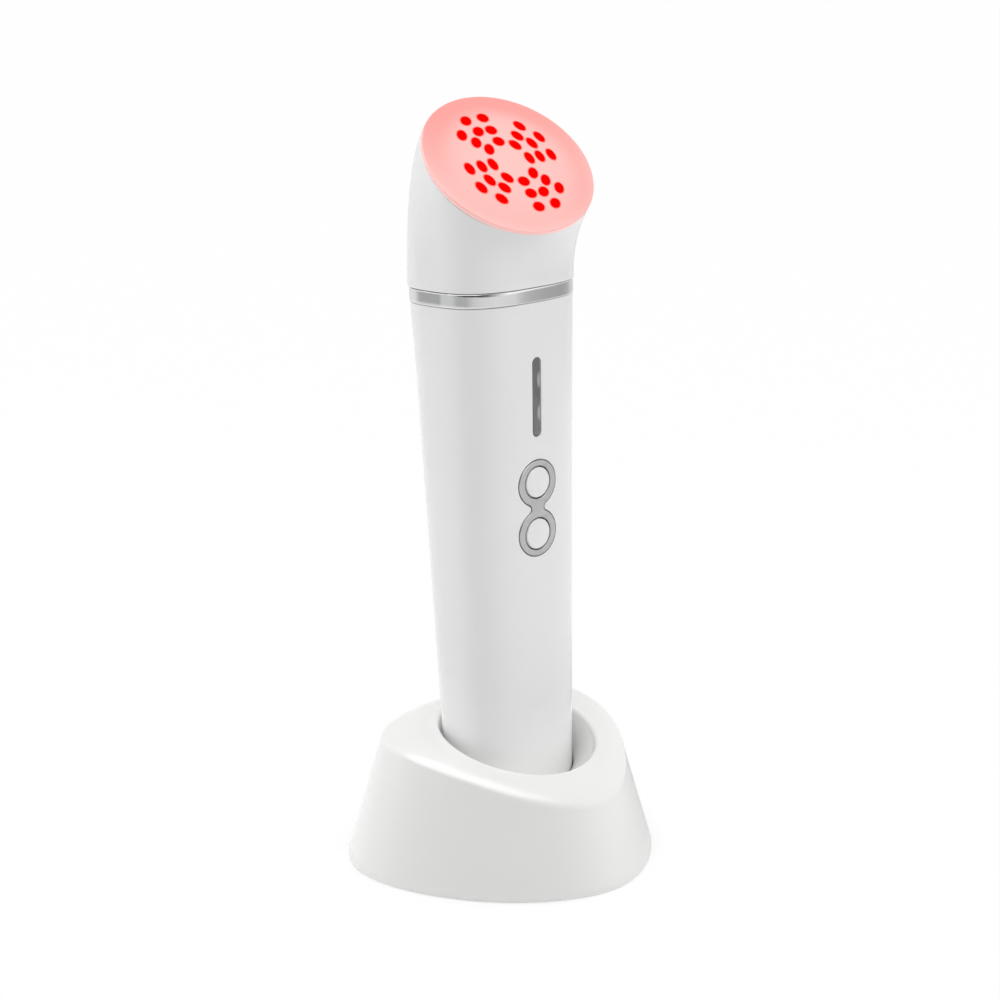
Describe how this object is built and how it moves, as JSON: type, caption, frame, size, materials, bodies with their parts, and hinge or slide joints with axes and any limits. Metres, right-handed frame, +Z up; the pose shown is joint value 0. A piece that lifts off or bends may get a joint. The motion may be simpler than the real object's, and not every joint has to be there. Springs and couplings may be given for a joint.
{
  "type": "hot and cold facial massager",
  "caption": "Handheld face massager with a slanted red-lit treatment lens, a chrome ring, two round keys and an indicator slot, standing in a rounded charging stand.",
  "frame": {"origin": "on the surface the stand rests on, in the handset's plane of symmetry, under the middle of the stand's well", "axes": "+Z up, -Y towards the key side and the slanted lens, X across the handset"},
  "size_m": [0.0894, 0.0828, 0.2045],
  "materials": {
    "white_plastic": "smooth gloss",
    "dark_plastic": "moulded matt",
    "bright_chrome": "polished",
    "grey_rubber": "matt",
    "steel": "plain",
    "aluminium": "satin",
    "pink_lens": "clear over a pink glow",
    "smoky_window": "smoky gloss",
    "ceramic": "ceramic",
    "led_board": "white solder mask",
    "circuit_board": "solder mask",
    "battery_wrap": "wrapped",
    "brass": "plated"
  },
  "bodies": {
    "stand": {"stand_shell": "white_plastic", "base_plate": "white_plastic", "charging_board": "circuit_board", "power_inlet": "steel", "contact_block": "white_plastic", "pin_barrel_left": "brass", "pin_barrel_right": "brass", "block_screw_left": "steel", "block_screw_right": "steel", "charging_board_screw_1": "steel", "charging_board_screw_2": "steel", "rubber_foot_1": "grey_rubber", "rubber_foot_2": "grey_rubber", "rubber_foot_3": "grey_rubber", "rubber_foot_4": "grey_rubber", "base_screw_1": "steel", "base_screw_2": "steel", "base_screw_3": "steel", "base_screw_4": "steel"},
    "handset": {"handle_shell": "white_plastic", "head_shell": "white_plastic", "bottom_cap": "white_plastic", "inner_frame": "dark_plastic", "power_switch": "dark_plastic", "mode_switch": "dark_plastic", "head_cable": "dark_plastic", "battery_cable": "dark_plastic", "chrome_ring": "bright_chrome", "button_bezel": "bright_chrome", "neck_seal": "grey_rubber", "lens_seal": "grey_rubber", "vibration_motor": "steel", "heat_sink": "aluminium", "treatment_lens": "pink_lens", "indicator_window": "smoky_window", "thermoelectric_module": "ceramic", "led_board": "led_board", "main_board": "circuit_board", "battery": "battery_wrap", "indicator_lamp_1": "ceramic", "indicator_lamp_2": "ceramic", "charge_pad_left": "brass", "heat_sink_screw_left": "steel", "cap_screw_left": "steel", "charge_pad_right": "brass", "heat_sink_screw_right": "steel", "cap_screw_right": "steel", "board_screw_upper": "steel", "board_screw_lower": "steel"},
    "power_button": {"power_button": "white_plastic"},
    "mode_button": {"mode_button": "white_plastic"},
    "motor_weight": {"motor_weight": "steel"},
    "charge_pin_left": {"charge_pin_left": "brass"},
    "charge_pin_right": {"charge_pin_right": "brass"}
  },
  "joints": [
    {"name": "handset_lift", "type": "slide", "parent": "stand", "child": "handset", "axis": [0, 0.0523, 0.9986], "range_m": [0, 0.06]},
    {"name": "power_button_press", "type": "slide", "parent": "handset", "child": "power_button", "axis": [0, 0.9998, -0.0186], "range_m": [0, 0.0004], "stiffness_N_per_m": 900},
    {"name": "mode_button_press", "type": "slide", "parent": "handset", "child": "mode_button", "axis": [0, 0.9998, -0.0186], "range_m": [0, 0.0004], "stiffness_N_per_m": 900},
    {"name": "motor_weight_spin", "type": "hinge", "parent": "handset", "child": "motor_weight", "pos_m": [0, 0.00398, 0.13323], "axis": [0, 0.0523, 0.9986], "continuous": true},
    {"name": "charge_pin_left_press", "type": "slide", "parent": "stand", "child": "charge_pin_left", "axis": [0, 0.0523, 0.9986], "range_m": [-0.0011, 0], "stiffness_N_per_m": 300},
    {"name": "charge_pin_right_press", "type": "slide", "parent": "stand", "child": "charge_pin_right", "axis": [0, 0.0523, 0.9986], "range_m": [-0.0011, 0], "stiffness_N_per_m": 300}
  ]
}
